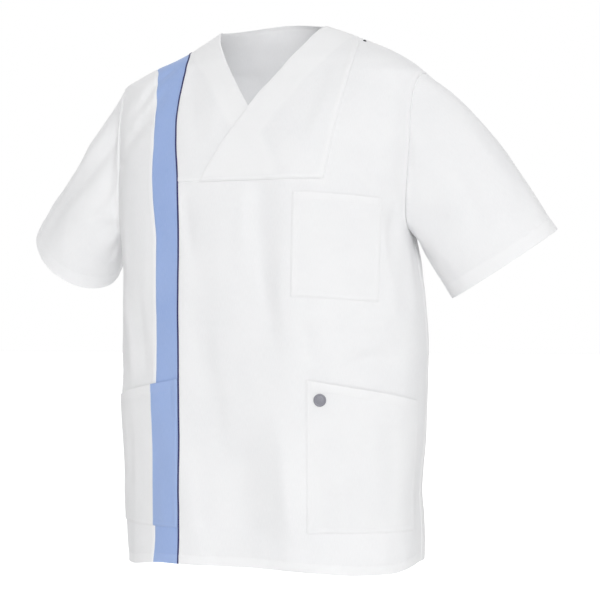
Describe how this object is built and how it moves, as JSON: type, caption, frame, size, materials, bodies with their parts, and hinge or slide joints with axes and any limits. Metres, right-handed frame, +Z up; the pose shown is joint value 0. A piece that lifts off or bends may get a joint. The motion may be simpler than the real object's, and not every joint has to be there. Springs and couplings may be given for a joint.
{
  "type": "work tunic",
  "caption": "Short-sleeved V-neck work tunic filled out as worn, with a crossed front yoke, a contrast stripe with piping down one front, and chest and hip patch pockets.",
  "frame": {"origin": "on the shoulder line midway between the two shoulder neck points, where the wearer carries the garment", "axes": "+Z up, -Y the way the front faces, +X towards the wearer's left"},
  "size_m": [0.7778, 0.2501, 0.7565],
  "materials": {
    "white_cloth": "white plain-weave polyester and cotton, matt",
    "blue_cloth": "light blue plain-weave polyester and cotton, matt",
    "navy_piping": "dark navy piping, slight sheen",
    "badge_grey": "plain grey, satin",
    "stud_dark": "dark, satin"
  },
  "bodies": {
    "root": {"back": "white_cloth", "badge_round": "badge_grey", "facing_left": "white_cloth", "facing_right": "white_cloth", "front_main": "white_cloth", "front_side_right": "white_cloth", "piping_right": "navy_piping", "pocket_chest": "white_cloth", "pocket_hip_left": "white_cloth", "pocket_hip_right": "white_cloth", "pocket_stripe_right": "blue_cloth", "sleeve_left": "white_cloth", "sleeve_right": "white_cloth", "stripe_right": "blue_cloth", "stud_shoulder": "stud_dark", "yoke_left": "white_cloth", "yoke_right": "white_cloth"}
  },
  "joints": []
}
